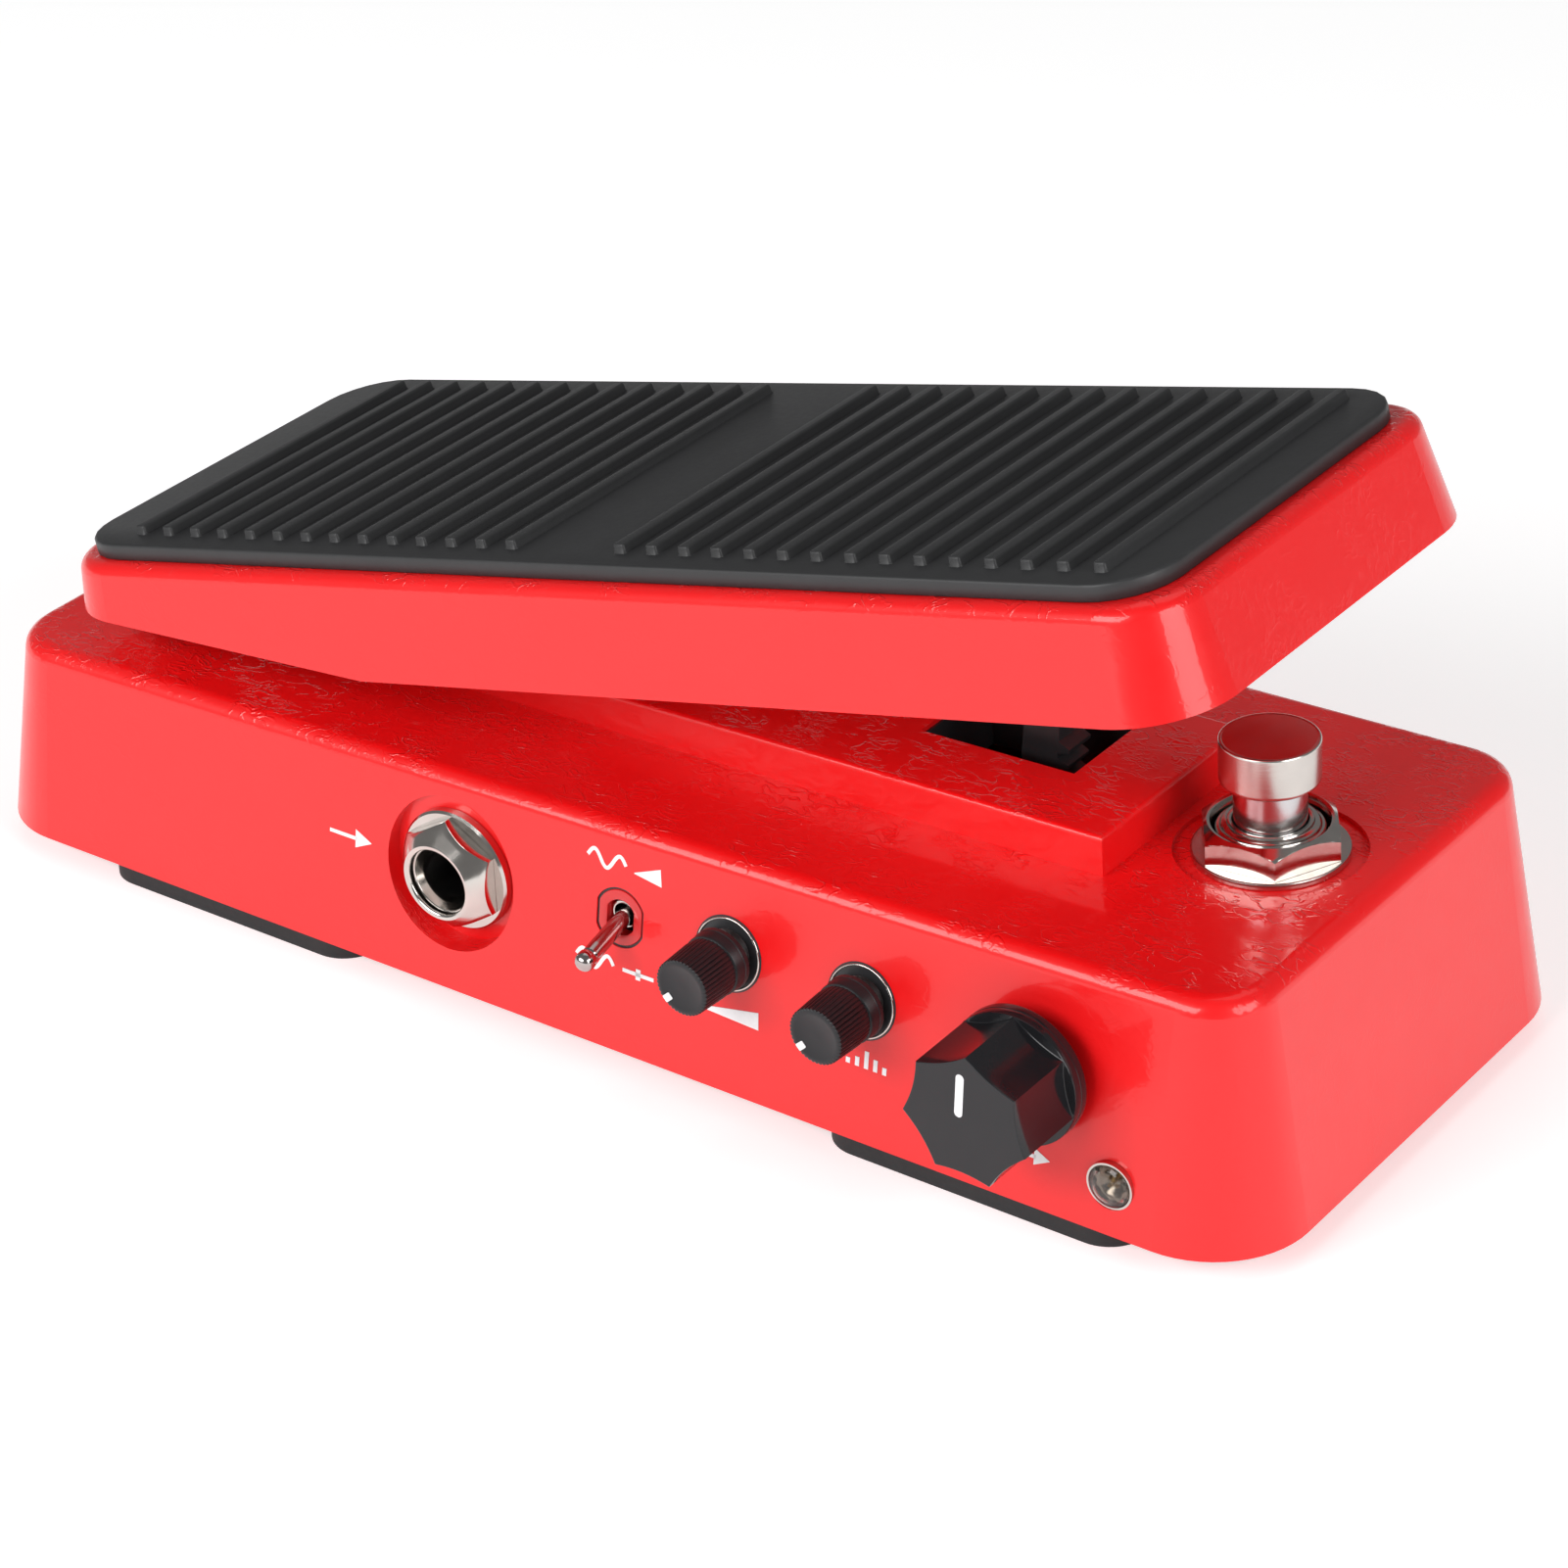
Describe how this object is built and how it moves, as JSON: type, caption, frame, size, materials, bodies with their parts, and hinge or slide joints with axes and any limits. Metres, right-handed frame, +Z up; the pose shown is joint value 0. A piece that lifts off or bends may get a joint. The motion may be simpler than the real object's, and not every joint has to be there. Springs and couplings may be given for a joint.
{
  "type": "guitar effects pedal",
  "caption": "Treadle pedal for guitar: cast base with a control panel, rocking treadle with a ribbed rubber mat, toothed arm and potentiometer, stomp switch and knobs.",
  "frame": {"origin": "on the floor under the middle of the whole pedal", "axes": "+X from the heel to the toe, -Y out of the control panel, +Z up"},
  "size_m": [0.168, 0.0764, 0.0694],
  "materials": {
    "red_paint": "gloss red paint with a fine wrinkle",
    "plate_steel": "satin black paint",
    "screw_steel": "zinc",
    "foot_rubber": "matt",
    "mat_rubber": "satin black",
    "bracket_steel": "plain sheet",
    "bush_brass": "turned",
    "pot_case": "pressed can",
    "nickel": "polished nickel",
    "black_plastic": "moulded",
    "red_plastic": "red bush",
    "spring_steel": "drawn wire",
    "lamp_clear": "clear lens",
    "board_green": "lacquered board",
    "shaft_steel": "ground",
    "arm_plastic": "black nylon",
    "knob_plastic": "knurled black",
    "knob_gloss": "gloss black"
  },
  "bodies": {
    "base": {"base_casting": "red_paint", "bottom_plate": "plate_steel", "bottom_plate_screws": "screw_steel", "heel_foot": "foot_rubber", "toe_foot": "foot_rubber", "pivot_bracket": "bracket_steel", "bracket_screws": "screw_steel", "pivot_bushes": "bush_brass", "heel_stops": "foot_rubber", "pot_bracket": "bracket_steel", "pedal_potentiometer": "pot_case", "stomp_washer": "nickel", "stomp_nut": "nickel", "stomp_bush": "nickel", "stomp_switch_body": "black_plastic", "stomp_spring": "spring_steel", "input_jack_nose": "black_plastic", "input_jack_body": "black_plastic", "input_jack_nut": "nickel", "output_jack_nose": "black_plastic", "output_jack_body": "black_plastic", "output_jack_nut": "nickel", "power_inlet": "black_plastic", "power_pin": "nickel", "toggle_switch_body": "black_plastic", "toggle_bush": "red_plastic", "level_pot_body": "pot_case", "quality_pot_body": "pot_case", "range_pot_body": "pot_case", "lamp_lens": "lamp_clear", "lamp_ring": "nickel", "circuit_board": "board_green", "board_standoffs": "bush_brass", "board_screws": "screw_steel"},
    "treadle": {"treadle_casting": "red_paint", "tread_mat": "mat_rubber", "toe_strike_pad": "foot_rubber", "pivot_shaft": "shaft_steel", "shaft_clips": "spring_steel", "toothed_arm": "arm_plastic", "arm_screws": "screw_steel"},
    "pinion": {"pinion_gear": "arm_plastic", "pedal_pot_shaft": "shaft_steel"},
    "stomp_button": {"stomp_stem": "shaft_steel", "stomp_cap": "nickel"},
    "toggle": {"toggle_lever": "nickel"},
    "level_dial": {"level_knob": "knob_plastic", "level_pot_shaft": "shaft_steel"},
    "quality_dial": {"quality_knob": "knob_plastic", "quality_pot_shaft": "shaft_steel"},
    "range_dial": {"range_knob": "knob_gloss", "range_pot_shaft": "shaft_steel"}
  },
  "joints": [
    {"name": "treadle_rock", "type": "hinge", "parent": "base", "child": "treadle", "pos_m": [-0.022, 0.00459, 0.0384], "axis": [0, 1, 0], "range_deg": [0, 8.8]},
    {"name": "pot_turn", "type": "hinge", "parent": "base", "child": "pinion", "pos_m": [0.0425, 0.00459, 0.0175], "axis": [0, 1, 0], "range_deg": [-160, 2]},
    {"name": "stomp_press", "type": "slide", "parent": "base", "child": "stomp_button", "axis": [-0.0292, 0, 0.9996], "range_m": [-0.0025, 0], "stiffness_N_per_m": 1500, "springref_m": 0.002, "deforming": ["stomp_spring"]},
    {"name": "toggle_flip", "type": "hinge", "parent": "base", "child": "toggle", "pos_m": [0.0076, -0.02481, 0.0178], "axis": [1, 0, 0], "range_deg": [-32, 0]},
    {"name": "level_turn", "type": "hinge", "parent": "base", "child": "level_dial", "pos_m": [0.0214, -0.02627, 0.0181], "axis": [0, -1, 0], "range_deg": [-285, 15]},
    {"name": "quality_turn", "type": "hinge", "parent": "base", "child": "quality_dial", "pos_m": [0.0378, -0.02627, 0.0181], "axis": [0, -1, 0], "range_deg": [-285, 15]},
    {"name": "range_turn", "type": "hinge", "parent": "base", "child": "range_dial", "pos_m": [0.058, -0.02628, 0.018], "axis": [0, -1, 0], "range_deg": [-145, 155]}
  ],
  "couplings": [
    {"joint": "pot_turn", "follows": "treadle_rock", "ratio": -17.833}
  ]
}
